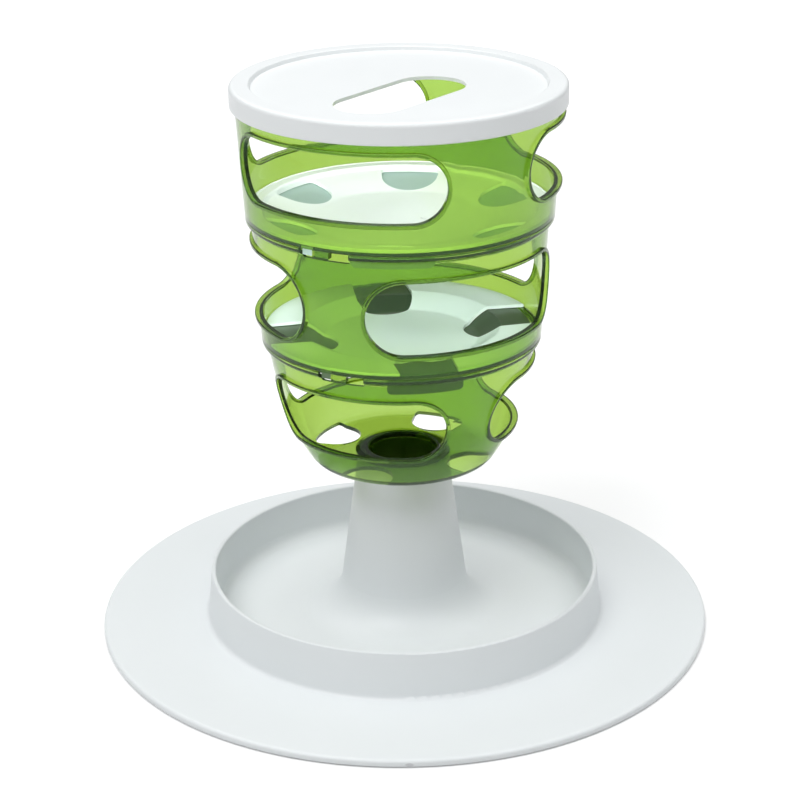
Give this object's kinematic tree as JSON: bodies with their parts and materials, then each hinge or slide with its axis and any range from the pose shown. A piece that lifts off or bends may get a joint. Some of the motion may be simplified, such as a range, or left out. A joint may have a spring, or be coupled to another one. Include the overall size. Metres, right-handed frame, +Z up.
{
  "type": "cat food tree",
  "caption": "Stacked clear tiers with paw windows on a column over a round dish, with turning petal trays over shutter plates, for dry food that a cat works down.",
  "frame": {"origin": "middle of the base's footprint, on the surface that the pads rest on", "axes": "+Z up the column, -Y towards the front, where the shutters' front finger tabs hang"},
  "size_m": [0.3533, 0.3534, 0.3194],
  "materials": {
    "base_white": "satin",
    "pad_rubber": "matte",
    "clear_green": "clear, polished",
    "tray_white": "satin",
    "shutter_white": "satin",
    "shutter_grey": "satin",
    "lid_white": "satin"
  },
  "bodies": {
    "base": {"base": "base_white", "base_pads": "pad_rubber"},
    "lower_tier": {"lower_tier": "clear_green"},
    "middle_tier": {"middle_tier": "clear_green", "middle_shutter": "shutter_grey"},
    "middle_tray": {"middle_tray": "tray_white"},
    "upper_tier": {"upper_tier": "clear_green", "upper_shutter": "shutter_white"},
    "upper_tray": {"upper_tray": "tray_white"},
    "lid": {"lid": "lid_white"}
  },
  "joints": [
    {"name": "lower_tier_lift", "type": "slide", "parent": "base", "child": "lower_tier", "axis": [0, 0, 1], "range_m": [0, 0.06]},
    {"name": "middle_tier_lift", "type": "slide", "parent": "lower_tier", "child": "middle_tier", "axis": [0, 0, 1], "range_m": [0, 0.05]},
    {"name": "middle_tray_turn", "type": "hinge", "parent": "middle_tier", "child": "middle_tray", "pos_m": [0, 0, 0.17], "axis": [0, 0, 1], "range_deg": [0, 45]},
    {"name": "upper_tier_lift", "type": "slide", "parent": "middle_tier", "child": "upper_tier", "axis": [0, 0, 1], "range_m": [0, 0.05]},
    {"name": "upper_tray_turn", "type": "hinge", "parent": "upper_tier", "child": "upper_tray", "pos_m": [0, 0, 0.24], "axis": [0, 0, 1], "range_deg": [0, 30]},
    {"name": "lid_lift", "type": "slide", "parent": "upper_tier", "child": "lid", "axis": [0, 0, 1], "range_m": [0, 0.04]}
  ]
}
